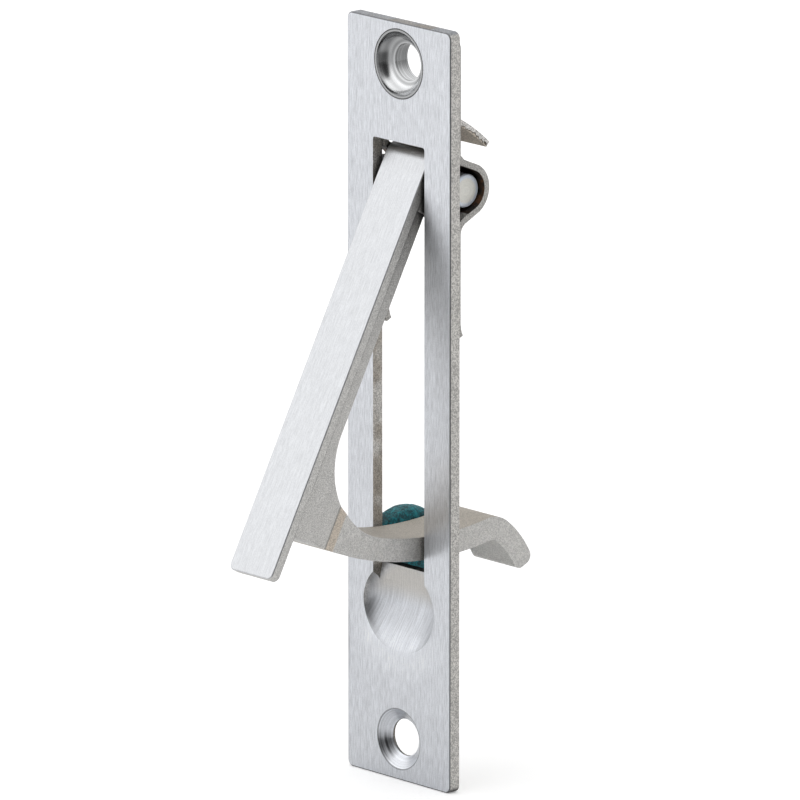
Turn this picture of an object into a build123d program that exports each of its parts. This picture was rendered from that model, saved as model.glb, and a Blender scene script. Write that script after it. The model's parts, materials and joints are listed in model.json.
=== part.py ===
"""Pocket door edge pull: a faceplate let into the door's edge, with a lever that swings out of it.

Frame: X across the plate, Y into the door, Z up, millimetres.
Origin: on the plate's back face, midway between the two screw holes.
The lever is written down with the pull closed, and then swung out to its rest angle.
"""
import os
from math import asin, atan2, cos, degrees, hypot, pi, radians, sin, sqrt

from build123d import *

# ---- faceplate ----
PLATE_WIDTH = 19.05
PLATE_HEIGHT = 98.4
PLATE_THICK = 1.6
PLATE_CORNER = 0.9
PLATE_EDGE = 0.22
SCREW_SPACING = 87.7
SCREW_HOLE_RADIUS = 2.4
SINK_RADIUS = 3.95
SINK_DEPTH = 1.3
SLOT_HALF_WIDTH = 4.75
SLOT_TOP = 33.8
SLOT_CORNER = 0.35
TONGUE_TOP = -21.65
SLIT_END = -23.9
DIMPLE_Z = -27.0
DIMPLE_RADIUS = 6.6
DIMPLE_DEPTH = 2.3
DEEPEST_Z = -25.7
DIMPLE_RISE = 10.5
DIMPLE_FADE = 7.5
DIMPLE_LOWER_REACH = 0.6
DIMPLE_LIFT = 0.02
DIMPLE_MARGIN = 0.6
DIMPLE_STEPS = 32
WALL_STEEPNESS = 6
SURFACE_TOLERANCE = 0.002
DIMPLE_SKIN = 1.3
SKIN_SPREAD = 0.7

# ---- eyelet in the upper hole ----
EYELET_RIM_RADIUS = 4.44
EYELET_LIP = 0.35
EYELET_LIP_WIDTH = 0.3
EYELET_CUP_SAG = 0.22
EYELET_WALL = 0.6
EYELET_SEAM = 0.08
EYELET_ROLL_RADIUS = 4.3
EYELET_ROLL = 0.75
EYELET_ROLL_EDGE = 0.35

# ---- pivot ----
PIVOT_BACK = 2.65
PIVOT_Z = 28.2
PIN_RADIUS = 2.15
PIN_HALF_LENGTH = 7.85
PIN_CHAMFER = 0.15
PIN_FIT = 0.03
HUB_CLEARANCE = 0.05

# ---- strap that holds the pin ----
STRAP_SHEET = 0.8
STRAP_HALF_WIDTH = 8.85
STRAP_TOP = 48.0
STRAP_CORNER = 1.2
WINDOW_HALF_WIDTH = 4.35
WINDOW_TOP = 35.4
LOOP_BACK = 2.25
LOOP_Z = 28.45
UPPER_FLARE = 0.7
UPPER_SLOPE = 23
LOWER_FLARE = 2.0
LOWER_SLOPE = 25
LEG_FLAT_END = 11.6
LEG_CURL_RADIUS = 4.0
LEG_CURL = 27

# ---- leaf over the strap ----
LEAF_SHEET = 0.8
LEAF_HALF_WIDTH = 7.7
LEAF_TOP = 47.6
LEAF_FLAT_END = 38.1
LEAF_BEND_RADIUS = 1.2
LEAF_BEND = 60
LEAF_CURVE_RADIUS = 26.0
LEAF_CURVE = 13

# ---- lever ----
OPEN_ANGLE = 28.5
STRIP_HALF_WIDTH = 3.95
STRIP_THICK = 1.4
STRIP_REACH = 54.5
STRIP_CORNER = 0.9
STRIP_EDGE = 0.2
HUB_RADIUS = 4.45
NOSE_RADIUS = 2.86
NOSE_Z = 1.7
RIB_DEPTH = 3.1
RIB_HALF_WIDTH = 3.5
ARM_INNER_RADIUS = 45.1
ARM_THICK = 3.0
ARM_HALF_WIDTH = 3.9
WEB_RADIUS = 10.0
STEP_START = 7.5
STEP_END = 8.4
ARM_ANGLE = 38.0
HOOK_BEND_RADIUS = 3.0
HOOK_BEND = 47.5
HOOK_CURVE_RADIUS = 13.5
HOOK_CURVE = 28
HOOK_TIP = 1.1

# ---- pad behind the plate ----
PAD_OUTER_X = -9.3
PAD_INNER_X = -4.1
PAD_RADIUS = 5.7
PAD_CENTRE_Y = 5.6
PAD_CENTRE_Z = -21.2
PAD_EDGE = 2.2
PAD_CLEARANCE = 0.12

FRONT = -PLATE_THICK
FACE_TO_PIVOT = PIVOT_BACK + PLATE_THICK
HOLE_Z = SCREW_SPACING / 2
WIDE = 60.0


def across(profile, half_width):
    """A side-view profile (Y, Z) made solid across X."""
    return extrude(Plane.YZ * profile, amount=half_width, both=True)


def facing(profile, front, back):
    """A front-view profile (X, Z) made solid from Y = front to Y = back."""
    plane = Plane(origin=(0, back, 0), x_dir=(1, 0, 0), z_dir=(0, -1, 0))
    return extrude(plane * profile, amount=back - front)


def turned(points, z):
    """A closed outline of (radius, Y) points turned round a Y axis at height z."""
    section = make_face(Polyline(*points, close=True))
    return Pos(0, 0, z) * revolve(section, Axis.Y)


def polar(centre, radius, angle):
    """The point at this radius and angle in degrees, counted from +Y towards +Z."""
    return (centre[0] + radius * cos(radians(angle)), centre[1] + radius * sin(radians(angle)))


def sheet_from(path, thick):
    """The side view of a bent sheet, from the line that runs down its middle."""
    return trace(path, line_width=thick)


# ---------------------------------------------------------------- faceplate
def trough(z):
    """How deep the tongue and the dimple's middle line lie: deepest below the slits, then fading out."""
    span = DIMPLE_RISE if z > DEEPEST_Z else DIMPLE_FADE
    swing = min(abs(z - DEEPEST_Z) / span, 1) * pi / 2
    return DIMPLE_DEPTH * cos(swing) ** 2 - DIMPLE_LIFT


def wall(x, z, radius):
    """How much the round wall takes off the trough's depth: nothing inside, all of it at the radius."""
    climb = z - DIMPLE_Z
    if climb < 0:
        climb *= DIMPLE_LOWER_REACH
    return DIMPLE_DEPTH * (hypot(x, climb) / radius) ** WALL_STEEPNESS


def dimple_wall(z):
    """The whole wall, everywhere."""
    return 1


def tongue_wall(z):
    """The wall's share on the tongue: none at its top and all of it where the slits end."""
    return ((TONGUE_TOP - min(z, TONGUE_TOP)) / (TONGUE_TOP - SLIT_END)) ** 2


def pressed_block(grow, share):
    """All that lies in front of the pressed surface, or of its back when grow is the sheet."""
    radius = DIMPLE_RADIUS + SKIN_SPREAD * grow
    reach = radius + DIMPLE_MARGIN
    low = DEEPEST_Z - DIMPLE_FADE - DIMPLE_MARGIN
    high = DIMPLE_Z + reach
    heights = [low + (high - low) * k / DIMPLE_STEPS for k in range(DIMPLE_STEPS + 1)]
    rows = []
    for i in range(DIMPLE_STEPS + 1):
        x = reach * (2 * i / DIMPLE_STEPS - 1)
        rows.append([(x, FRONT + grow + trough(z) - share(z) * wall(x, z, radius), z) for z in heights])
    surface = Face.make_surface_from_array_of_points(rows, tol=SURFACE_TOLERANCE)
    return extrude(surface, amount=WIDE, dir=(0, -1, 0))


def tongue_block(grow, room=0):
    """The same for the tongue alone: the band between the two slits."""
    height = TONGUE_TOP + room - SLIT_END
    band = Pos(0, SLIT_END + height / 2) * Rectangle(2 * (SLOT_HALF_WIDTH + room), height)
    return pressed_block(grow + room, tongue_wall) & facing(band, -WIDE, WIDE)


def bulge():
    """The pressed sheet, from the plate's middle plane backwards."""
    block = pressed_block(DIMPLE_SKIN, dimple_wall) + tongue_block(DIMPLE_SKIN)
    return block - facing(Rectangle(WIDE, 2 * WIDE), -2 * WIDE, FRONT / 2)


def countersink():
    """The cone for a flat-head screw, with the screw's clearance hole."""
    points = [
        (0, FRONT),
        (SINK_RADIUS, FRONT),
        (SCREW_HOLE_RADIUS, FRONT + SINK_DEPTH),
        (SCREW_HOLE_RADIUS, WIDE),
        (0, WIDE),
    ]
    return turned(points, -HOLE_Z)


def plate_outline():
    """The flat plate with its rounded corners and softened front edge."""
    plate = facing(RectangleRounded(PLATE_WIDTH, PLATE_HEIGHT, PLATE_CORNER), FRONT, 0)
    return fillet(plate.faces().sort_by(Axis.Y)[0].edges(), PLATE_EDGE)


def slot():
    """The opening that the lever swings through, square at its foot."""
    height = SLOT_TOP - TONGUE_TOP
    opening = Pos(0, TONGUE_TOP + height / 2) * Rectangle(2 * SLOT_HALF_WIDTH, height)
    opening = fillet(opening.vertices().group_by(Axis.Y)[-1], SLOT_CORNER)
    return facing(opening, -WIDE, WIDE)


def faceplate():
    """Stamped plate: slot, thumb dimple with its tongue, countersink and eyelet seat."""
    plate = plate_outline() + bulge()
    plate -= pressed_block(0, dimple_wall) + tongue_block(0)
    plate -= slot() + countersink() + eyelet_seat()
    return plate


# ---------------------------------------------------------------- eyelet
def eyelet_seat():
    """The cup-shaped hole in the plate, a seam's width larger than the eyelet."""
    neck = SCREW_HOLE_RADIUS + EYELET_WALL + EYELET_SEAM
    rim = EYELET_RIM_RADIUS + EYELET_SEAM
    points = [(0, FRONT), (rim, FRONT), (rim, FRONT + EYELET_LIP), (neck, 0), (neck, WIDE), (0, WIDE)]
    return turned(points, HOLE_Z)


def screw_eyelet():
    """Turned-over eyelet: a cup in the plate, a tube through the two sheets and a rolled end."""
    bore = SCREW_HOLE_RADIUS
    neck = bore + EYELET_WALL
    seat = STRAP_SHEET + LEAF_SHEET
    roll_end = seat + EYELET_ROLL
    lip_inner = EYELET_RIM_RADIUS - EYELET_LIP_WIDTH
    cup_middle = ((lip_inner + bore) / 2 + EYELET_CUP_SAG, FRONT / 2 + EYELET_CUP_SAG)
    cup = ThreePointArc((lip_inner, FRONT), cup_middle, (bore, 0))
    tail = Polyline(
        (bore, 0),
        (bore, roll_end),
        (EYELET_ROLL_RADIUS, roll_end),
        (EYELET_ROLL_RADIUS, seat),
        (neck, seat),
        (neck, 0),
        (EYELET_RIM_RADIUS, FRONT + EYELET_LIP),
        (EYELET_RIM_RADIUS, FRONT),
        (lip_inner, FRONT),
    )
    section = make_face(Wire([cup, *tail.edges()]))
    rolled = section.vertices().group_by(Axis.Y)[-1]
    section = fillet(rolled, EYELET_ROLL_EDGE)
    return Pos(0, 0, HOLE_Z) * revolve(section, Axis.Y)


# ---------------------------------------------------------------- strap and leaf
def loop_radius():
    """The loop's middle line, just wide enough for the pin, which sits off its centre."""
    offset = hypot(PIVOT_BACK - LOOP_BACK, PIVOT_Z - LOOP_Z)
    return offset + PIN_RADIUS + PIN_FIT + STRAP_SHEET / 2


def flare_rise(flare, slope):
    """How far along Z a flare's centre lies from the loop's, for the straight slope between them."""
    across_gap = STRAP_SHEET / 2 + flare - LOOP_BACK
    return (loop_radius() + flare - across_gap * sin(radians(slope))) / cos(radians(slope))


def strap_path():
    """The strap's middle line: flat, out round the pin, flat again, and a curled end."""
    flat = STRAP_SHEET / 2
    loop = (LOOP_BACK, LOOP_Z)
    upper = (flat + UPPER_FLARE, LOOP_Z + flare_rise(UPPER_FLARE, UPPER_SLOPE))
    lower = (flat + LOWER_FLARE, LOOP_Z - flare_rise(LOWER_FLARE, LOWER_SLOPE))
    upper_turn = 90 - UPPER_SLOPE
    lower_turn = LOWER_SLOPE - 90
    curl = (flat + LEG_CURL_RADIUS, LEG_FLAT_END)
    return [
        Line((flat, STRAP_TOP), (flat, upper[1])),
        CenterArc(upper, UPPER_FLARE, 180, upper_turn),
        Line(polar(upper, UPPER_FLARE, 180 + upper_turn), polar(loop, loop_radius(), upper_turn)),
        CenterArc(loop, loop_radius(), lower_turn, upper_turn - lower_turn),
        Line(polar(loop, loop_radius(), lower_turn), polar(lower, LOWER_FLARE, 180 + lower_turn)),
        CenterArc(lower, LOWER_FLARE, 180 + lower_turn, -lower_turn),
        Line((flat, lower[1]), (flat, LEG_FLAT_END)),
        CenterArc(curl, LEG_CURL_RADIUS, 180, LEG_CURL),
    ]


def tube_hole():
    """The hole that the eyelet's tube passes through, with a little room."""
    radius = SCREW_HOLE_RADIUS + EYELET_WALL + EYELET_SEAM
    return Pos(0, 0, HOLE_Z) * Rot(X=90) * Cylinder(radius, WIDE)


def pin_strap():
    """One bent strip: two ears round the pin's ends and two legs down the plate's back."""
    strap = across(sheet_from(strap_path(), STRAP_SHEET), STRAP_HALF_WIDTH)
    window_height = WINDOW_TOP + WIDE
    window = Pos(0, WINDOW_TOP - window_height / 2) * Rectangle(2 * WINDOW_HALF_WIDTH, window_height)
    strap -= facing(window, -WIDE, WIDE)
    corners = strap.edges().filter_by(Axis.Y).group_by(Axis.Z)[-1]
    strap = fillet(corners, STRAP_CORNER)
    return strap - tube_hole()


def detent_leaf():
    """A short springy sheet on the strap's back, bent out over the lever's head."""
    middle = STRAP_SHEET + LEAF_SHEET / 2
    bend = (middle + LEAF_BEND_RADIUS, LEAF_FLAT_END)
    bend_end = 180 + LEAF_BEND
    curve = polar(bend, LEAF_BEND_RADIUS + LEAF_CURVE_RADIUS, bend_end)
    path = [
        Line((middle, LEAF_TOP), (middle, LEAF_FLAT_END)),
        CenterArc(bend, LEAF_BEND_RADIUS, 180, LEAF_BEND),
        CenterArc(curve, LEAF_CURVE_RADIUS, bend_end - 180 - LEAF_CURVE, LEAF_CURVE),
    ]
    leaf = across(sheet_from(path, LEAF_SHEET), LEAF_HALF_WIDTH)
    corners = leaf.edges().filter_by(Axis.Y).group_by(Axis.Z)[-1]
    leaf = fillet(corners, STRAP_CORNER)
    return leaf - tube_hole()


def pivot_pin():
    """The lever's axle, a little shorter than the strap is wide."""
    pin = Rot(Y=90) * Cylinder(PIN_RADIUS, 2 * PIN_HALF_LENGTH)
    pin = chamfer(pin.edges().filter_by(GeomType.CIRCLE), PIN_CHAMFER)
    return Pos(0, PIVOT_BACK, PIVOT_Z) * pin


# ---------------------------------------------------------------- lever
def block(y_min, y_max, z_min, z_max):
    """A rectangle in the side view, by its edges."""
    size = Rectangle(y_max - y_min, z_max - z_min)
    return Pos((y_min + y_max) / 2, (z_min + z_max) / 2) * size


def strip_and_hub():
    """The bright strip that is gripped, and the rounded head that turns on the pin."""
    face = -FACE_TO_PIVOT
    head = Circle(HUB_RADIUS) & block(face, HUB_RADIUS, -HUB_RADIUS, HUB_RADIUS)
    head += Pos(face + NOSE_RADIUS, NOSE_Z) * Circle(NOSE_RADIUS)
    root = block(face, face + RIB_DEPTH, -HUB_RADIUS, NOSE_Z)
    strip = block(face, face + STRIP_THICK, -STRIP_REACH, 0)
    solid = across(head + root + strip, STRIP_HALF_WIDTH)
    corners = solid.edges().filter_by(Axis.Y).group_by(Axis.Z)[0]
    solid = fillet(corners, STRIP_CORNER)
    return fillet(solid.faces().filter_by(Axis.X).edges(), STRIP_EDGE)


def web_profile():
    """The rib behind the strip, and the rounded web that joins it to the arm."""
    rib_back = RIB_DEPTH - FACE_TO_PIVOT
    centre_reach = ARM_INNER_RADIUS - WEB_RADIUS
    centre_y = rib_back + WEB_RADIUS
    centre_z = -sqrt(centre_reach ** 2 - centre_y ** 2)
    middle = ARM_INNER_RADIUS + ARM_THICK / 2
    radial = degrees(atan2(centre_z, centre_y))
    corner = polar((0, 0), middle, radial)
    outline = Polyline(
        (-FACE_TO_PIVOT, centre_z),
        (centre_y, centre_z),
        corner,
        (-FACE_TO_PIVOT, -middle),
        close=True,
    )
    web = make_face(outline) - Pos(centre_y, centre_z) * Circle(WEB_RADIUS)
    return web + block(-FACE_TO_PIVOT, rib_back, centre_z, -HUB_RADIUS / 2)


def arm_profile():
    """The arc about the pin that passes through the slot, and the hook that stops it."""
    middle = ARM_INNER_RADIUS + ARM_THICK / 2
    start = -90 - degrees(asin((FACE_TO_PIVOT - STRIP_THICK / 2) / middle))
    end = ARM_ANGLE - 90
    bend = polar((0, 0), middle + HOOK_BEND_RADIUS, end)
    bend_end = end + 180 - HOOK_BEND
    curve = polar(bend, HOOK_BEND_RADIUS - HOOK_CURVE_RADIUS, bend_end)
    path = [
        CenterArc((0, 0), middle, start, end - start),
        CenterArc(bend, HOOK_BEND_RADIUS, bend_end, HOOK_BEND),
        CenterArc(curve, HOOK_CURVE_RADIUS, bend_end - HOOK_CURVE, HOOK_CURVE),
    ]
    arm = sheet_from(path, ARM_THICK)
    tip = polar(curve, HOOK_CURVE_RADIUS, bend_end - HOOK_CURVE)
    corners = arm.vertices().sort_by_distance(tip)[0:2]
    return fillet(corners, HOOK_TIP)


def arm_and_web():
    """The blasted back half of the lever: narrow web, then a sloping step out to the arm."""
    face = -FACE_TO_PIVOT
    solid = across(arm_profile() + web_profile(), STRIP_HALF_WIDTH)
    half_plan = [
        (RIB_HALF_WIDTH, face),
        (RIB_HALF_WIDTH, face + STEP_START),
        (ARM_HALF_WIDTH, face + STEP_END),
        (ARM_HALF_WIDTH, WIDE),
    ]
    other_half = [(-x, y) for x, y in reversed(half_plan)]
    plan = make_face(Polyline(*half_plan, *other_half, close=True))
    return solid & extrude(plan, amount=2 * WIDE, both=True)


def pull_lever():
    """The lever as one casting, bored for the pin and swung out to its rest angle."""
    lever = strip_and_hub() + arm_and_web()
    lever -= Rot(Y=90) * Cylinder(PIN_RADIUS + HUB_CLEARANCE, WIDE)
    return Pos(0, PIVOT_BACK, PIVOT_Z) * Rot(X=-OPEN_ANGLE) * lever


# ---------------------------------------------------------------- pad
def friction_pad():
    """A soft round pad on the plate's back beside the arm, hollowed over the dimple's bulge."""
    disc = Rot(Y=90) * Cylinder(PAD_RADIUS, PAD_INNER_X - PAD_OUTER_X)
    disc = fillet(disc.edges().filter_by(GeomType.CIRCLE), PAD_EDGE)
    pad = Pos((PAD_INNER_X + PAD_OUTER_X) / 2, PAD_CENTRE_Y, PAD_CENTRE_Z) * disc
    pad -= facing(Rectangle(WIDE, 2 * WIDE), -WIDE, 0)
    pad -= pressed_block(DIMPLE_SKIN + PAD_CLEARANCE, dimple_wall)
    return pad - tongue_block(DIMPLE_SKIN, PAD_CLEARANCE)


PARTS = {
    "faceplate": faceplate,
    "screw_eyelet": screw_eyelet,
    "pin_strap": pin_strap,
    "detent_leaf": detent_leaf,
    "pivot_pin": pivot_pin,
    "pull_lever": pull_lever,
    "friction_pad": friction_pad,
}

os.makedirs("parts", exist_ok=True)
for name, make in PARTS.items():
    export_step(make(), f"parts/{name}.step")
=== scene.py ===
"""Looks for the pocket door edge pull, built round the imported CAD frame. Blender 4.5, metres."""

import json
import math

import bpy
from mathutils import Euler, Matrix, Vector, noise


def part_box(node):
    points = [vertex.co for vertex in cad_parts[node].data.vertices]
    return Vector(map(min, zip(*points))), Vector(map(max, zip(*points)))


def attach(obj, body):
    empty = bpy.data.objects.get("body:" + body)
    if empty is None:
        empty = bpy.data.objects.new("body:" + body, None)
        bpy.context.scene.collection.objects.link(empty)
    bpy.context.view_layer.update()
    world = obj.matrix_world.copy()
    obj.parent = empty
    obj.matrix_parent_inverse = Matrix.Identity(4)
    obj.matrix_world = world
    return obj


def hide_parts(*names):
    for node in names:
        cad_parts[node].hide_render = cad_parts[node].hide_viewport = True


MM = 0.001

# light and floor. The camera sees a plain white surround. The tent's levels only reach it by way
# of the part and the floor, and the floor's own dimming only shows in reflections.
FLOOR_HALF_SIZE = 4.0
FLOOR_TONE = (0.95, 0.95, 0.95)
FLOOR_LIFT = 0.28
TENT_DULL = 0.60
TENT_BRIGHT = 1.14
PORT_DARK = 0.06
PORT_SQUAT = 0.45
FLOOR_NEAR = 0.86
FLOOR_PORT_DARK = 0.20
FLOOR_NEAR_REACH = 0.4
FLOOR_PORT_REACH = (0.08, 0.20)
PORT_COSINES = (0.78, 0.94)
TENT_AXIS = (-0.55, -0.6, 0.58)
TENT_COSINES = (-0.9, 0.9)
KEY_PLACE = (-0.7, -0.9, 0.6)
KEY_SIZE = 0.8
KEY_POWER = 0.15

# the camera's place and lens
CAMERA_AZIMUTH = math.radians(47.09)
CAMERA_ELEVATION = math.radians(13.97)
CAMERA_DISTANCE = 1.6113
CAMERA_LENS = 575.2
AIM_RIGHT = 0.175 * MM
AIM_UP = 0.468 * MM

# where the finishes change, in the part's own frame. These are set to suit the CAD's shapes.
DIMPLE_Z = -27.0 * MM
DIMPLE_RADIUS = 7.0 * MM
DIMPLE_HALO = 10.6 * MM
DIMPLE_LEAN = math.radians(-11)
DIMPLE_SOFT_EDGE = 1.1 * MM
DIMPLE_FADE = 3 * MM
HALO_TOP_DROP = 1 * MM
HALO_FULL_DROP = 5 * MM
FAR_WALL_START = 2.0 * MM
FAR_WALL_FULL = 5.5 * MM
SINK_RADIUS = 3.95 * MM
SINK_OUTLINE = 0.12 * MM
SINK_CLEAR = 7 * MM
SINK_CLEAR_FULL = 8 * MM
SINK_SHADE_AXIS = (0.90, 0.0, 0.44)
EYELET_RADIUS = 4.46 * MM
EYELET_OUTLINE = 0.16 * MM
EYELET_SHADE_AXIS = (0.75, 0.0, -0.65)
PIN_RADIUS = 2.15 * MM
TONGUE_TOP = -21.65 * MM
TONGUE_CUT = 0.6 * MM
SLIT_FADE = 0.4 * MM
STAIN_CLEAR_X = 6.0 * MM
STAIN_FULL_X = 5.5 * MM
LOOP_Y = 2.25 * MM
LOOP_Z = 28.45 * MM
LOOP_RADIUS = 3.05 * MM
LEAF_CURVE_Y = -11.2 * MM
LEAF_CURVE_Z = 14.5 * MM
LEAF_UNDER_RADIUS = 25.6 * MM
LEAF_THICK = 0.8 * MM

# the same on the lever, measured from the pivot with the lever closed
STRIP_BACK_Y = -2.85 * MM
STRIP_BACK_FADE = 0.3 * MM
STRIP_ROOT = 0.22 * MM
HEAD_CLEAR_Z = -2 * MM
HEAD_FULL_Z = -1 * MM
WEB_CLEAR_Z = -15 * MM
WEB_FULL_Z = -20 * MM
STEP_Y = 3.7 * MM
STEP_BAND = 0.65 * MM
SEAM_DROP = 0.55 * MM
SEAM_WIDTH = 0.16 * MM

# tones
PLATE_TONE = (0.78, 0.80, 0.84)
PLATE_WARM_TONE = (0.75, 0.73, 0.70)
PLATE_EDGE_TONE = (0.64, 0.625, 0.60)
PLATE_TOP_TONE = (0.36, 0.37, 0.39)
PLATE_STAIN_TONE = (0.30, 0.25, 0.19)
LEVER_TONE = (0.70, 0.712, 0.733)
LEVER_CAST_TONE = (0.70, 0.69, 0.67)
LEVER_CAST_WARM = (0.47, 0.435, 0.385)
# painted highlight along the lever's casting step
LEVER_STEP_HIGHLIGHT_TONE = (0.74, 0.66, 0.57)
STRAP_FLAT_TONE = (0.46, 0.445, 0.42)
STRAP_EDGE_TONE = (0.48, 0.47, 0.45)
# painted shade inside the strap's loop, near black with brown patches
LOOP_SHADE_TONE = (0.030, 0.024, 0.020)
LOOP_BROWN_TONE = (0.16, 0.075, 0.035)
LEAF_FLAT_TONE = (0.48, 0.465, 0.44)
LEAF_UNDER_TONE = (0.56, 0.50, 0.43)
LEAF_LAND_TONE = (0.68, 0.665, 0.64)
LEAF_BORDER_TONE = (0.06, 0.045, 0.035)
EYELET_TONE = (0.76, 0.77, 0.78)
PIN_MIDDLE_TONE = (0.86, 0.855, 0.80)
PIN_RIM_TONE = (0.74, 0.80, 0.88)
# painted shadow on the tongue's upward cut face
TONGUE_CUT_SHADOW_TONE = (0.015, 0.013, 0.012)
PAD_DARK_TONE = (0.003, 0.052, 0.065)
PAD_LIGHT_TONE = (0.006, 0.185, 0.220)
# painted highlight on the pad's upward faces
PAD_HIGHLIGHT_TONE = (0.08, 0.35, 0.38)

# painted shade and painted highlight: what a tone is multiplied by there, and how strongly a stain covers
ROLLED_EDGE_SHADE = 0.25
SINK_SCRATCH_SHADES = (0.06, 0.55)
SINK_OUTLINE_SHADE = 0.55
HALO_HIGHLIGHT = 1.12
FAR_WALL_SHADE = 0.72
SLIT_SHADE = 0.35
STAIN_STRENGTH = 0.6
STRIP_EDGE_SHADE = 0.70
HEAD_TOP_SHADE = 0.35
SEAM_SHADE = 0.62
ROOT_SHADE = 0.55
EYELET_OUTLINE_SHADE = 0.25
EYELET_SIDE_SHADE = 0.42

# surfaces
SATIN_ANISOTROPY = 0.6
SATIN_ROUGHNESS = 0.29
DIMPLE_ROUGHNESS = 0.55
DIMPLE_METALLIC = 0.85
PLATE_EDGE_METALLIC = 0.6
STRIP_ROUGHNESS = 0.33
CAST_ROUGHNESS = 0.62
CAST_METALLIC = 0.55
SHEET_METALLIC = 0.6
SHEET_ROUGHNESS = 0.55
EYELET_ROUGHNESS = (0.14, 0.24)
PIN_METALLIC = 0.25
PIN_ROUGHNESS = 0.45
PAD_ROUGHNESS = 0.6
PIT_SIZE = 0.16 * MM
SHEET_PIT_SIZE = 0.17 * MM
PIT_DEPTH = 0.05 * MM
CAST_PIT_DEPTH = 0.06 * MM
BRUSH_WIDTH = 0.12 * MM
BRUSH_LENGTH = 1.8 * MM
BROAD_BRUSH_WIDTH = 0.5 * MM
BROAD_BRUSH_LENGTH = 12 * MM
DIMPLE_BRUSH_WIDTH = 0.20 * MM
DIMPLE_BRUSH_LENGTH = 4 * MM
PLATE_BRUSH_DEPTH = 0.012 * MM
LEVER_BRUSH_DEPTH = 0.01 * MM
SINK_RING_WIDTH = 0.22 * MM
SINK_SCRATCH_WIDTH = 0.3 * MM
EYELET_RING_WIDTH = 0.25 * MM
PIN_RING_WIDTH = 0.3 * MM
RING_DEPTH = 0.02 * MM
STAIN_SIZE = 3 * MM
LOOP_BROWN_SIZE = 1.3 * MM
RAGGED_SIZE = 0.8 * MM

# painted shade in creases: how near another surface has to be to darken a finish
PLATE_CREVICE = 4 * MM
LEVER_FACE_CREVICE = 3 * MM
LEVER_CAST_CREVICE = 12 * MM
SHEET_CREVICE = 2.5 * MM
EYELET_CREVICE = 1.2 * MM
PAD_CREVICE = 3 * MM

# the soft pad
PAD_VOXEL = 0.22 * MM
PAD_SMOOTHING = 8
PAD_LUMP = 0.35 * MM
PAD_LUMP_SIZE = 1.9 * MM
PAD_DENT_SIZE = 0.3 * PAD_LUMP_SIZE
PAD_MOTTLE_SIZE = 0.9 * MM
PAD_FINE_SIZE = 0.24 * MM
PAD_BUMP = 0.10 * MM

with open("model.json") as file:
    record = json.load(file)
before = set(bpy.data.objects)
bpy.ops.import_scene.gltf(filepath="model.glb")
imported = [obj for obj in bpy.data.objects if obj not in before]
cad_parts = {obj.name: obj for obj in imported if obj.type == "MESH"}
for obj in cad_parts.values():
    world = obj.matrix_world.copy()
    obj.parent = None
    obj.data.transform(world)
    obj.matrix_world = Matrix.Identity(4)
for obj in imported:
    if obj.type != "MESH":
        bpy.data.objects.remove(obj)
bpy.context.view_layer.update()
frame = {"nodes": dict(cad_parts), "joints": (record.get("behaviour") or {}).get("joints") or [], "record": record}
nodes = frame["nodes"]
joint = frame["joints"][0]
PIVOT = Vector(joint["pos_m"])
OPEN_ANGLE = math.radians(-joint["range_deg"][0])

plate_low, plate_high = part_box("faceplate")
plate_mid_z = (plate_low.z + plate_high.z) / 2
screw_spacing = frame["record"]["mounts"][0]["dims"]["spacing_y_mm"] * MM
SINK_Z = -screw_spacing / 2
to_camera = Vector((
    math.sin(CAMERA_AZIMUTH) * math.cos(CAMERA_ELEVATION),
    -math.cos(CAMERA_AZIMUTH) * math.cos(CAMERA_ELEVATION),
    math.sin(CAMERA_ELEVATION),
))


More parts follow.
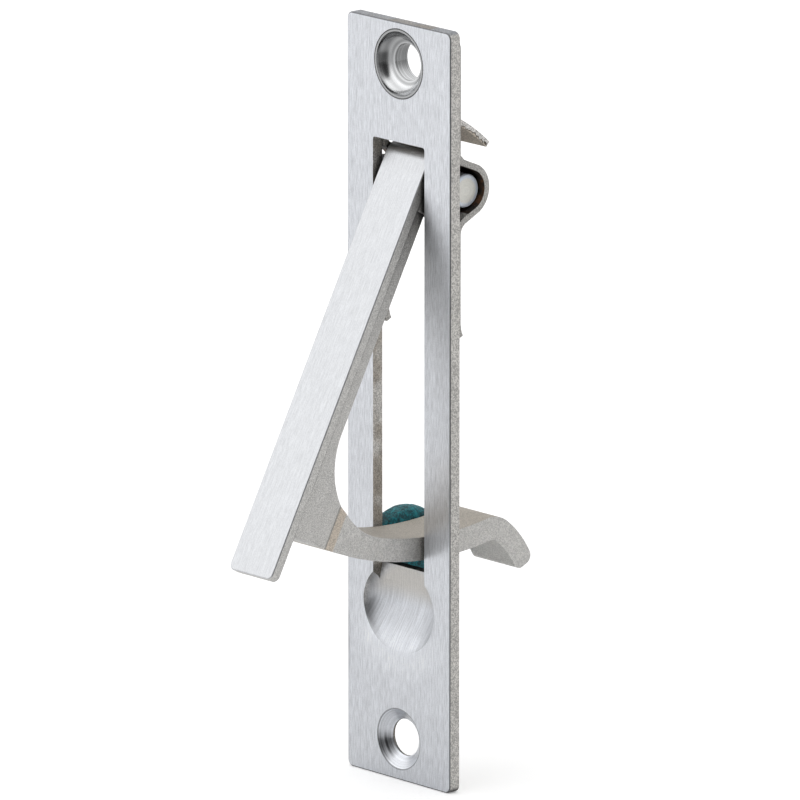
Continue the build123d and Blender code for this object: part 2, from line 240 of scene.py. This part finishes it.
# ---------------------------------------------------------------- shader helpers
class Graph:
    """Short way to write a shader: each call adds a node and wires its inputs by name."""

    def __init__(self, name, worlds=False):
        kind = bpy.data.worlds if worlds else bpy.data.materials
        self.owner = kind.new(name)
        self.owner.use_nodes = True
        self.tree = self.owner.node_tree
        self.tree.nodes.clear()

    def add(self, kind, settings=None, **inputs):
        """A new node. An underscore in an input's keyword stands for a space in its name."""
        node = self.tree.nodes.new("ShaderNode" + kind)
        for key, value in (settings or {}).items():
            setattr(node, key, value)
        for key, value in inputs.items():
            self.feed(node.inputs[key.replace("_", " ")], value)
        return node

    def feed(self, socket, value):
        """Links a socket to the input, or sets the input's own value."""
        if isinstance(value, bpy.types.NodeSocket):
            self.tree.links.new(value, socket)
        elif socket.type == "RGBA":
            socket.default_value = (*value, 1.0)
        else:
            socket.default_value = value

    def math(self, operation, *values, clamp=False):
        """Plain arithmetic on one or two values."""
        node = self.tree.nodes.new("ShaderNodeMath")
        node.operation = operation
        node.use_clamp = clamp
        for socket, value in zip(node.inputs, values):
            self.feed(socket, value)
        return node.outputs[0]

    def coords(self, kind="Object"):
        """A texture coordinate: the shaded point's place in its object, unless another kind is named."""
        return self.add("TexCoord").outputs[kind]

    def mapped(self, vector, scale=(1, 1, 1), turn=(0, 0, 0), move=(0, 0, 0)):
        """The vector scaled, then turned, then moved."""
        return self.add("Mapping", Vector=vector, Scale=scale, Rotation=turn, Location=move).outputs[0]

    def noise(self, vector, scale, detail=2.0, rough=0.5):
        """Smooth noise around 0.5. scale counts its waves in one unit of the vector."""
        node = self.add("TexNoise", Vector=vector, Scale=scale, Detail=detail, Roughness=rough)
        return node.outputs[0]

    def split(self, vector):
        """The vector's x, y and z."""
        return self.add("SeparateXYZ", Vector=vector).outputs

    def ramp(self, value, low, high):
        """0 at low and before it, 1 at high and past it, smooth between. low may be the larger one."""
        node = self.add("MapRange", {"interpolation_type": "SMOOTHSTEP"}, Value=value)
        self.feed(node.inputs["From Min"], low)
        self.feed(node.inputs["From Max"], high)
        return node.outputs[0]

    def spread(self, value, low, high):
        """Stretches a 0 to 1 value over low to high."""
        node = self.add("MapRange", Value=value)
        self.feed(node.inputs["To Min"], low)
        self.feed(node.inputs["To Max"], high)
        return node.outputs[0]

    def blend(self, fac, first, second):
        """Colour first where fac is 0, second where it is 1."""
        node = self.add("Mix", {"data_type": "RGBA"})
        self.feed(node.inputs[0], fac)
        self.feed(node.inputs[6], first)
        self.feed(node.inputs[7], second)
        return node.outputs[2]

    def blend_value(self, fac, first, second):
        """The same for two plain values."""
        node = self.add("Mix", {"data_type": "FLOAT"})
        self.feed(node.inputs[0], fac)
        self.feed(node.inputs[2], first)
        self.feed(node.inputs[3], second)
        return node.outputs[0]

    def tint(self, colour, factor):
        """Colour times a grey factor."""
        node = self.add("VectorMath", {"operation": "SCALE"})
        self.feed(node.inputs[0], colour)
        self.feed(node.inputs["Scale"], factor)
        return node.outputs[0]

    def bump(self, height, strength, distance, normal=None):
        """A normal tilted by a height. distance is how deep a height of 1 goes, in metres."""
        node = self.add("Bump", Height=height, Strength=strength, Distance=distance)
        if normal is not None:
            self.feed(node.inputs["Normal"], normal)
        return node.outputs[0]

    def finish(self, **inputs):
        """Ends a material with one Principled shader."""
        return self.output("OutputMaterial", self.add("BsdfPrincipled", **inputs).outputs[0])

    def output(self, kind, shader):
        """Ends the tree, and gives back its material or world."""
        self.add(kind, Surface=shader)
        return self.owner


def paint(obj, material):
    """Gives an object this one material."""
    obj.data.materials.clear()
    obj.data.materials.append(material)


# ---------------------------------------------------------------- finishes
def streaks(g, place, width, length, spread=0.16):
    """Brush lines along Z, the same at every depth, with their contrast opened up to fill 0 to 1."""
    fine = g.noise(g.mapped(place, (1 / width, 0, 1 / length)), 1.0, 3.0, 0.65)
    return g.ramp(fine, 0.5 - spread, 0.5 + spread)


def brushed(g, place):
    """Satin finish: hair-fine lines over broader, longer ones. Returns 0 to 1 around 0.5."""
    fine = streaks(g, place, BRUSH_WIDTH, BRUSH_LENGTH, 0.12)
    broad = streaks(g, place, BROAD_BRUSH_WIDTH, BROAD_BRUSH_LENGTH)
    return g.math("ADD", g.math("MULTIPLY", fine, 0.75), g.math("MULTIPLY", broad, 0.25))


def grain(g, place, size):
    """Blasted grain: small pits over slower mottling. size is a pit's width in metres."""
    fine = g.ramp(g.noise(place, 1 / size, 1.0, 0.5), 0.36, 0.64)
    slow = g.ramp(g.noise(place, 0.13 / size, 2.0, 0.5), 0.30, 0.70)
    return g.math("ADD", g.math("MULTIPLY", fine, 0.80), g.math("MULTIPLY", slow, 0.20))


def crevice_shade(g, reach, floor, wide_open=0.62):
    """Painted shade in creases: 1 in the open, falling towards floor where other surfaces close in within reach.
    """
    node = g.add("AmbientOcclusion", {"samples": 8}, Distance=reach)
    return g.spread(g.ramp(node.outputs["AO"], 0.10, wide_open), floor, 1.0)


def near(g, value, centre, half_width):
    """1 at the centre, 0 beyond half_width from it."""
    gap = g.math("ABSOLUTE", g.math("SUBTRACT", value, centre))
    return g.ramp(gap, half_width, half_width * 0.5)


def toward(g, direction, axis):
    """How closely a direction points along an axis, from -1 to 1."""
    node = g.add("VectorMath", {"operation": "DOT_PRODUCT"})
    g.feed(node.inputs[0], direction)
    g.feed(node.inputs[1], Vector(axis).normalized())
    return node.outputs["Value"]


def distance(g, first, second):
    """Length of a two-way offset."""
    square = g.math("ADD", g.math("POWER", first, 2.0), g.math("POWER", second, 2.0))
    return g.math("SQRT", square)


def from_screw_axis(g, axes, centre_z):
    """Distance from a line along Y through x = 0 and this height."""
    return distance(g, axes[0], g.math("SUBTRACT", axes[2], centre_z))


def from_cross_axis(g, axes, centre_y, centre_z):
    """Distance from a line along X through this point of the side view."""
    return distance(g, g.math("SUBTRACT", axes[1], centre_y), g.math("SUBTRACT", axes[2], centre_z))


def rings(g, radius, width):
    """Turning marks: rings this wide round an axis."""
    line = g.add("CombineXYZ", X=radius).outputs[0]
    return g.ramp(g.noise(line, 1 / width, 3.0), 0.35, 0.65)


def dimple_lines(g, place):
    """The dimple's brush lines: coarser than the plate's, and leaning."""
    leaned = g.mapped(place, turn=(0, DIMPLE_LEAN, 0))
    return streaks(g, leaned, DIMPLE_BRUSH_WIDTH, DIMPLE_BRUSH_LENGTH)


def shaded_side(g, axis, low, high, floor):
    """Painted shade: 1, falling to floor as the surface turns to face along this axis, between these two cosines.
    """
    return g.spread(g.ramp(toward(g, g.coords("Normal"), axis), low, high), 1.0, floor)


def faceplate_finish():
    """Satin front with its dimple and turned countersink, and painted shade on its rolled edge; grey sheared
    sides.

    The slot walls' stains and the slits' painted shade also cover the middle of the plate's back.
    """
    g = Graph("brushed_faceplate")
    place = g.coords()
    axes = g.split(place)
    normal = g.split(g.coords("Normal"))
    facing = g.math("MULTIPLY", normal[1], -1.0)
    front = g.ramp(facing, 0.30, 0.62)
    spot = from_screw_axis(g, axes, DIMPLE_Z)
    in_dimple = g.ramp(spot, DIMPLE_RADIUS, DIMPLE_RADIUS * 0.72)
    sink = from_screw_axis(g, axes, SINK_Z)
    in_sink = g.ramp(sink, SINK_RADIUS * 1.02, SINK_RADIUS * 0.98)
    lines = g.blend_value(in_dimple, brushed(g, place), dimple_lines(g, place))
    lines = g.blend_value(in_sink, lines, rings(g, sink, SINK_RING_WIDTH))
    pits = grain(g, place, PIT_SIZE)
    high = g.math("MULTIPLY", in_dimple, g.ramp(axes[2], DIMPLE_Z, DIMPLE_Z + DIMPLE_FADE))
    swing = g.blend_value(high, g.spread(in_dimple, 0.32, 0.24), 0.10)
    tone = g.math("ADD", 1.0, g.math("MULTIPLY", g.math("SUBTRACT", lines, 0.5), swing))
    tone = g.math("MULTIPLY", tone, g.spread(pits, 0.95, 1.04))
    flat = g.math("SUBTRACT", 1.0, g.math("ADD", in_dimple, in_sink, clamp=True))
    # painted shade: a dark band on the rolled edge of the front
    rolled = g.math("MULTIPLY", g.ramp(facing, 0.10, 0.25), g.ramp(facing, 0.995, 0.93))
    tone = g.math("MULTIPLY", tone, g.spread(g.math("MULTIPLY", rolled, flat), 1.0, ROLLED_EDGE_SHADE))
    # painted shade over one side of the countersink, its depth broken up along the scratch rings
    scratched_shade = g.spread(rings(g, sink, SINK_SCRATCH_WIDTH), *SINK_SCRATCH_SHADES)
    sink_shade = shaded_side(g, SINK_SHADE_AXIS, 0.48, 0.66, scratched_shade)
    tone = g.math("MULTIPLY", tone, g.blend_value(in_sink, 1.0, sink_shade))
    outline = near(g, sink, SINK_RADIUS, SINK_OUTLINE)
    tone = g.math("MULTIPLY", tone, g.spread(outline, 1.0, SINK_OUTLINE_SHADE))
    # painted highlight: a brighter ring on the front below the dimple
    below = g.ramp(axes[2], DIMPLE_Z - HALO_TOP_DROP, DIMPLE_Z - HALO_FULL_DROP)
    halo_highlight = g.math("MULTIPLY", g.ramp(spot, DIMPLE_HALO, DIMPLE_RADIUS * 0.9), below)
    tone = g.math("MULTIPLY", tone, g.spread(halo_highlight, 1.0, HALO_HIGHLIGHT))
    # painted shade on the dimple's wall towards +X
    far_wall = g.math("MULTIPLY", in_dimple, g.ramp(axes[0], FAR_WALL_START, FAR_WALL_FULL))
    tone = g.math("MULTIPLY", tone, g.spread(far_wall, 1.0, FAR_WALL_SHADE))
    satin = g.tint(g.blend(high, PLATE_TONE, PLATE_WARM_TONE), tone)
    edge = g.blend(g.ramp(normal[2], 0.5, 0.9), PLATE_EDGE_TONE, PLATE_TOP_TONE)
    edge = g.tint(edge, g.spread(pits, 0.66, 1.34))
    # painted shade in creases on the cut edges
    edge = g.tint(edge, crevice_shade(g, PLATE_CREVICE, 0.12))
    inboard = g.ramp(g.math("ABSOLUTE", axes[0]), STAIN_CLEAR_X, STAIN_FULL_X)
    # painted shade on the cut faces of the slits below the tongue's top
    in_slit = g.math("MULTIPLY", g.ramp(axes[2], TONGUE_TOP, TONGUE_TOP - SLIT_FADE), inboard)
    edge = g.tint(edge, g.spread(in_slit, 1.0, SLIT_SHADE))
    stain = g.math("MULTIPLY", inboard, g.ramp(g.noise(place, 1 / STAIN_SIZE, 2.0), 0.35, 0.65))
    stained = g.tint(PLATE_STAIN_TONE, g.spread(pits, 0.7, 1.3))
    edge = g.blend(g.math("MULTIPLY", stain, STAIN_STRENGTH), edge, stained)
    # painted shadow: the tongue's upward cut face is near black
    at_tongue = near(g, axes[2], TONGUE_TOP, TONGUE_CUT)
    tongue_cut_shadow = g.math("MULTIPLY", at_tongue, g.ramp(normal[2], 0.5, 0.8))
    edge = g.blend(tongue_cut_shadow, edge, TONGUE_CUT_SHADOW_TONE)
    soft = g.add("Bevel", {"samples": 8}, Radius=DIMPLE_SOFT_EDGE).outputs[0]
    low = g.ramp(axes[2], DIMPLE_Z, DIMPLE_Z - DIMPLE_FADE)
    above_sink = g.ramp(axes[2], SINK_Z + SINK_CLEAR, SINK_Z + SINK_CLEAR_FULL)
    low = g.math("MULTIPLY", low, above_sink)
    hard = g.add("NewGeometry").outputs["Normal"]
    brush_bump = g.bump(lines, 0.4, PLATE_BRUSH_DEPTH, normal=g.blend(low, hard, soft))
    front_roughness = g.spread(in_dimple, SATIN_ROUGHNESS, DIMPLE_ROUGHNESS)
    return g.finish(
        Base_Color=g.blend(front, edge, satin),
        Metallic=g.blend_value(front, PLATE_EDGE_METALLIC, g.spread(in_dimple, 1.0, DIMPLE_METALLIC)),
        Roughness=g.blend_value(front, CAST_ROUGHNESS, front_roughness),
        Anisotropic=g.spread(front, 0.0, SATIN_ANISOTROPY),
        Tangent=g.add("CombineXYZ", X=1.0).outputs[0],
        Normal=g.blend(front, g.bump(pits, 0.7, PIT_DEPTH), brush_bump),
    )


def lever_finish():
    """Brushed along the gripping face; blasted grey everywhere else, warmer on the upper sides."""
    g = Graph("brushed_and_blasted_lever")
    turn = (OPEN_ANGLE, 0, 0)
    moved = PIVOT.copy()
    moved.rotate(Euler(turn))
    place = g.mapped(g.coords(), turn=turn, move=-moved)
    axes = g.split(place)
    normal = g.split(g.mapped(g.coords("Normal"), turn=turn))
    facing = g.math("MULTIPLY", normal[1], -1.0)
    on_strip = g.ramp(axes[1], STRIP_BACK_Y + STRIP_BACK_FADE, STRIP_BACK_Y)
    on_head = g.ramp(axes[2], HEAD_CLEAR_Z, HEAD_FULL_Z)
    front = g.math("MULTIPLY", g.ramp(facing, 0.20, 0.45), g.math("MAXIMUM", on_strip, on_head))
    rolled = g.ramp(g.math("ABSOLUTE", normal[0]), 0.25, 0.50)
    lines = brushed(g, place)
    pits = grain(g, place, PIT_SIZE)
    tone = g.math("MULTIPLY", g.spread(lines, 0.90, 1.08), g.spread(pits, 0.96, 1.04))
    # painted shade on the strip's rolled sides
    satin = g.tint(LEVER_TONE, g.math("MULTIPLY", tone, g.spread(rolled, 1.0, STRIP_EDGE_SHADE)))
    upright = g.split(g.coords("Normal"))[2]
    # painted shade over the head's upturned top, and in creases on the face
    head_top = g.spread(g.ramp(upright, 0.65, 0.95), 1.0, HEAD_TOP_SHADE)
    satin = g.tint(satin, g.math("MULTIPLY", crevice_shade(g, LEVER_FACE_CREVICE, 0.30), head_top))
    upward = g.ramp(upright, 0.2, 0.7)
    cast = g.blend(upward, LEVER_CAST_TONE, LEVER_CAST_WARM)
    on_web = g.ramp(axes[2], WEB_CLEAR_Z, WEB_FULL_Z)
    # painted highlight: a pale warm band along the casting step on the web
    step_highlight = g.math("MULTIPLY", near(g, axes[1], STEP_Y, STEP_BAND), on_web)
    cast = g.blend(step_highlight, cast, LEVER_STEP_HIGHLIGHT_TONE)
    # painted shade: a dark line below the step, and one in the crease where the rib meets the strip
    seam_shade_line = g.math("MULTIPLY", near(g, axes[1], STEP_Y - SEAM_DROP, SEAM_WIDTH), on_web)
    sideways = g.ramp(g.math("ABSOLUTE", normal[0]), 0.6, 0.8)
    root_crease_shade = g.math("MULTIPLY", near(g, axes[1], STRIP_BACK_Y, STRIP_ROOT), sideways)
    dark = g.math("MULTIPLY", g.spread(seam_shade_line, 1.0, SEAM_SHADE), g.spread(root_crease_shade, 1.0, ROOT_SHADE))
    cast = g.tint(cast, g.math("MULTIPLY", dark, g.spread(pits, 0.82, 1.18)))
    # painted shade where other surfaces are near, reaching far, so the sides darken beside the plate
    cast = g.tint(cast, crevice_shade(g, LEVER_CAST_CREVICE, 0.0, 0.95))
    to_world = {"vector_type": "VECTOR", "convert_from": "OBJECT", "convert_to": "WORLD"}
    across = g.add("VectorTransform", to_world)
    g.feed(across.inputs[0], g.add("CombineXYZ", X=1.0).outputs[0])
    return g.finish(
        Base_Color=g.blend(front, cast, satin),
        Metallic=g.spread(front, CAST_METALLIC, 1.0),
        Roughness=g.spread(front, CAST_ROUGHNESS, STRIP_ROUGHNESS),
        Anisotropic=g.spread(front, 0.0, SATIN_ANISOTROPY),
        Tangent=across.outputs[0],
        Normal=g.blend(front, g.bump(pits, 0.8, CAST_PIT_DEPTH), g.bump(lines, 0.3, LEVER_BRUSH_DEPTH)),
    )


def strap_finish():
    """Grey sheet with a ground edge; painted shade inside the pin's loop, near black with brown patches."""
    g = Graph("grey_strap")
    place = g.coords()
    axes = g.split(place)
    pits = grain(g, place, SHEET_PIT_SIZE)
    sideways = g.ramp(g.math("ABSOLUTE", g.split(g.coords("Normal"))[0]), 0.5, 0.8)
    colour = g.blend(sideways, STRAP_FLAT_TONE, STRAP_EDGE_TONE)
    colour = g.tint(colour, g.spread(pits, 0.66, 1.34))
    radius = from_cross_axis(g, axes, LOOP_Y, LOOP_Z)
    in_loop = g.ramp(radius, LOOP_RADIUS, LOOP_RADIUS * 0.96)
    # painted shade inside the pin's loop, near black with brown patches; painted shade in creases over the whole
    # strap
    inner = g.math("MULTIPLY", in_loop, g.math("SUBTRACT", 1.0, sideways))
    brown_patches = g.ramp(g.noise(place, 1 / LOOP_BROWN_SIZE, 3.0, 0.6), 0.48, 0.66)
    loop_shade_colour = g.blend(brown_patches, LOOP_SHADE_TONE, LOOP_BROWN_TONE)
    colour = g.tint(g.blend(inner, colour, loop_shade_colour), crevice_shade(g, SHEET_CREVICE, 0.03, 0.75))
    return g.finish(
        Base_Color=colour,
        Metallic=SHEET_METALLIC,
        Roughness=SHEET_ROUGHNESS,
        Normal=g.bump(pits, 0.7, PIT_DEPTH),
    )


def leaf_finish():
    """Grey sheet with a brown underside; its sheared sides have a bright land with a ragged, dark border."""
    g = Graph("grey_leaf")
    place = g.coords()
    axes = g.split(place)
    pits = grain(g, place, SHEET_PIT_SIZE)
    normal = g.split(g.coords("Normal"))
    sideways = g.ramp(g.math("ABSOLUTE", normal[0]), 0.6, 0.8)
    radius = from_cross_axis(g, axes, LEAF_CURVE_Y, LEAF_CURVE_Z)
    depth = g.math("DIVIDE", g.math("SUBTRACT", radius, LEAF_UNDER_RADIUS), LEAF_THICK)
    ragged = g.noise(place, 1 / RAGGED_SIZE, 4.0, 0.7)
    above = g.math("SUBTRACT", depth, g.spread(ragged, -0.75, 1.25))
    side = g.blend(g.ramp(above, -0.05, 0.05), LEAF_UNDER_TONE, LEAF_LAND_TONE)
    side = g.blend(near(g, above, 0.0, 0.10), side, LEAF_BORDER_TONE)
    flat = g.blend(g.ramp(normal[2], 0.0, -0.4), LEAF_FLAT_TONE, LEAF_UNDER_TONE)
    colour = g.tint(g.blend(sideways, flat, side), g.spread(pits, 0.62, 1.38))
    # painted shade in creases on the base colour
    return g.finish(
        Base_Color=g.tint(colour, crevice_shade(g, SHEET_CREVICE, 0.15)),
        Metallic=SHEET_METALLIC,
        Roughness=SHEET_ROUGHNESS,
        Normal=g.bump(pits, 0.7, PIT_DEPTH),
    )


def eyelet_finish():
    """Bright turned metal: fine rings round the screw's axis, with painted shade on one side and in creases."""
    g = Graph("polished_eyelet")
    axes = g.split(g.coords())
    marks = rings(g, g.math("ADD", from_screw_axis(g, axes, -SINK_Z), axes[1]), EYELET_RING_WIDTH)
    colour = g.tint(EYELET_TONE, g.spread(marks, 0.58, 1.12))
    outline = near(g, from_screw_axis(g, axes, -SINK_Z), EYELET_RADIUS, EYELET_OUTLINE)
    colour = g.tint(colour, g.spread(outline, 1.0, EYELET_OUTLINE_SHADE))
    # painted shade on the side turned along EYELET_SHADE_AXIS
    colour = g.tint(colour, shaded_side(g, EYELET_SHADE_AXIS, 0.0, 0.75, EYELET_SIDE_SHADE))
    return g.finish(
        Base_Color=g.tint(colour, crevice_shade(g, EYELET_CREVICE, 0.25)),
        Metallic=1.0,
        Roughness=g.spread(marks, *EYELET_ROUGHNESS),
        Normal=g.bump(marks, 0.6, RING_DEPTH),
    )


def pin_finish():
    """Cut pin end: faint turning rings, off-white in the middle and bluer at the rim."""
    g = Graph("satin_pin")
    place = g.coords()
    radius = from_cross_axis(g, g.split(place), PIVOT.y, PIVOT.z)
    marks = rings(g, radius, PIN_RING_WIDTH)
    rim = g.ramp(radius, PIN_RADIUS * 0.66, PIN_RADIUS * 0.84)
    colour = g.blend(rim, PIN_MIDDLE_TONE, PIN_RIM_TONE)
    pits = grain(g, place, SHEET_PIT_SIZE)
    colour = g.tint(colour, g.math("MULTIPLY", g.spread(marks, 0.96, 1.03), g.spread(pits, 0.94, 1.05)))
    return g.finish(
        Base_Color=colour,
        Metallic=PIN_METALLIC,
        Roughness=PIN_ROUGHNESS,
        Normal=g.bump(marks, 0.4, RING_DEPTH),
    )


def pad_finish():
    """Mottled teal rubber with a flecked painted highlight on its upward faces, and painted shade in creases."""
    g = Graph("teal_pad")
    place = g.coords()
    mottle = g.ramp(g.noise(place, 1 / PAD_MOTTLE_SIZE, 4.0, 0.7), 0.36, 0.64)
    fine = g.ramp(g.noise(place, 1 / PAD_FINE_SIZE, 2.0, 0.6), 0.36, 0.64)
    colour = g.blend(mottle, PAD_DARK_TONE, PAD_LIGHT_TONE)
    # painted highlight on upward faces, flecked by the fine mottle; below, painted shade in creases
    top_highlight = g.ramp(g.split(g.coords("Normal"))[2], 0.80, 1.0)
    colour = g.blend(g.math("MULTIPLY", top_highlight, g.math("MULTIPLY", fine, 0.35)), colour, PAD_HIGHLIGHT_TONE)
    colour = g.tint(colour, g.math("MULTIPLY", g.spread(fine, 0.65, 1.35), crevice_shade(g, PAD_CREVICE, 0.15)))
    height = g.math("ADD", mottle, g.math("MULTIPLY", fine, 0.5))
    return g.finish(
        Base_Color=colour,
        Roughness=PAD_ROUGHNESS,
        Specular_IOR_Level=0.3,
        Normal=g.bump(height, 0.6, PAD_BUMP),
    )


# ---------------------------------------------------------------- the soft pad
def make_pad():
    """The CAD pad's shape, remeshed fine, slumped smooth and pressed into soft lumps."""
    pad = bpy.data.objects.new("soft_pad", nodes["friction_pad"].data.copy())
    bpy.context.scene.collection.objects.link(pad)
    remesh = pad.modifiers.new("even_skin", "REMESH")
    remesh.mode = "VOXEL"
    remesh.voxel_size = PAD_VOXEL
    smooth = pad.modifiers.new("slump", "SMOOTH")
    smooth.factor = 0.5
    smooth.iterations = PAD_SMOOTHING
    shaped = bpy.data.meshes.new_from_object(pad.evaluated_get(bpy.context.evaluated_depsgraph_get()))
    pad.modifiers.clear()
    pad.data = shaped
    normals = [vertex.normal.copy() for vertex in shaped.vertices]
    for vertex, normal in zip(shaped.vertices, normals):
        lump = noise.noise(vertex.co / PAD_LUMP_SIZE)
        dent = noise.noise(vertex.co / PAD_DENT_SIZE)
        vertex.co -= normal * PAD_LUMP * (1 + 0.75 * lump + 0.25 * dent) / 2
    shaped.shade_smooth()
    paint(pad, pad_finish())
    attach(pad, "plate")
    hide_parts("friction_pad")


paint(nodes["faceplate"], faceplate_finish())
paint(nodes["pull_lever"], lever_finish())
paint(nodes["pin_strap"], strap_finish())
paint(nodes["detent_leaf"], leaf_finish())
paint(nodes["screw_eyelet"], eyelet_finish())
paint(nodes["pivot_pin"], pin_finish())
make_pad()


# ---------------------------------------------------------------- stage, light and camera
def make_floor():
    """A plain pale floor at the plate's foot, reflected dimmer near the part and towards the camera."""
    half = FLOOR_HALF_SIZE
    mesh = bpy.data.meshes.new("floor")
    corners = [(-half, -half, 0), (half, -half, 0), (half, half, 0), (-half, half, 0)]
    mesh.from_pydata(corners, [], [(0, 1, 2, 3)])
    floor = bpy.data.objects.new("floor", mesh)
    floor.location = (0, 0, plate_low.z)
    bpy.context.scene.collection.objects.link(floor)
    g = Graph("pale_floor")
    path = g.add("LightPath").outputs
    lift = g.math("MULTIPLY", path["Is Camera Ray"], FLOOR_LIFT)
    place = g.coords()
    reach = g.add("VectorMath", {"operation": "LENGTH"}, Vector=place).outputs["Value"]
    outward = g.add("VectorMath", {"operation": "NORMALIZE"}, Vector=place).outputs[0]
    port = g.ramp(toward(g, outward, (to_camera.x, to_camera.y, 0.0)), *PORT_COSINES)
    shade = g.spread(g.ramp(reach, 0.0, FLOOR_NEAR_REACH), FLOOR_NEAR, 1.0)
    port = g.math("MULTIPLY", port, g.ramp(reach, *FLOOR_PORT_REACH))
    shade = g.math("MULTIPLY", shade, g.spread(port, 1.0, FLOOR_PORT_DARK))
    shade = g.blend_value(path["Is Glossy Ray"], 1.0, shade)
    paint(floor, g.finish(
        Base_Color=g.tint(FLOOR_TONE, shade),
        Roughness=0.9,
        Emission_Color=(1.0, 1.0, 1.0),
        Emission_Strength=lift,
    ))


def make_key_light():
    """A weak square light from the upper front left, aimed at the part."""
    light = bpy.data.lights.new("key", "AREA")
    light.shape = "RECTANGLE"
    light.size = KEY_SIZE
    light.size_y = KEY_SIZE
    light.energy = KEY_POWER
    holder = bpy.data.objects.new("key", light)
    holder.location = KEY_PLACE
    holder.rotation_euler = (-Vector(KEY_PLACE)).to_track_quat("-Z", "Y").to_euler()
    bpy.context.scene.collection.objects.link(holder)


def make_world():
    """A soft light tent, brightest up to the front left, with a dark port where the camera looks in."""
    g = Graph("light_tent", worlds=True)
    direction = g.coords("Generated")
    glow = g.ramp(toward(g, direction, TENT_AXIS), *TENT_COSINES)
    level = g.spread(glow, TENT_DULL, TENT_BRIGHT)
    squat = g.add("VectorMath", {"operation": "MULTIPLY"})
    g.feed(squat.inputs[0], direction)
    g.feed(squat.inputs[1], (1.0, 1.0, PORT_SQUAT))
    squat = g.add("VectorMath", {"operation": "NORMALIZE"}, Vector=squat.outputs[0]).outputs[0]
    port = g.ramp(toward(g, squat, (to_camera.x, to_camera.y, 0.0)), *PORT_COSINES)
    level = g.math("MULTIPLY", level, g.spread(port, 1.0, PORT_DARK))
    seen = g.add("LightPath").outputs["Is Camera Ray"]
    strength = g.blend_value(seen, level, 1.0)
    background = g.add("Background", Color=(1.0, 1.0, 1.0), Strength=strength)
    bpy.context.scene.world = g.output("OutputWorld", background.outputs[0])


def make_camera():
    """A long lens, looking a little down at the plate's front from its right."""
    right = Vector((math.cos(CAMERA_AZIMUTH), math.sin(CAMERA_AZIMUTH), 0))
    up = to_camera.cross(right)
    target = Vector((0, plate_low.y, plate_mid_z))
    data = bpy.data.cameras.new("camera")
    data.lens = CAMERA_LENS
    data.sensor_width = 36.0
    data.clip_start = 0.1
    data.clip_end = 20.0
    camera = bpy.data.objects.new("camera", data)
    camera.location = target + to_camera * CAMERA_DISTANCE + right * AIM_RIGHT + up * AIM_UP
    camera.rotation_euler = (-to_camera).to_track_quat("-Z", "Y").to_euler()
    bpy.context.scene.collection.objects.link(camera)
    bpy.context.scene.camera = camera


make_floor()
make_world()
make_key_light()
make_camera()
bpy.context.scene.view_settings.view_transform = "Standard"
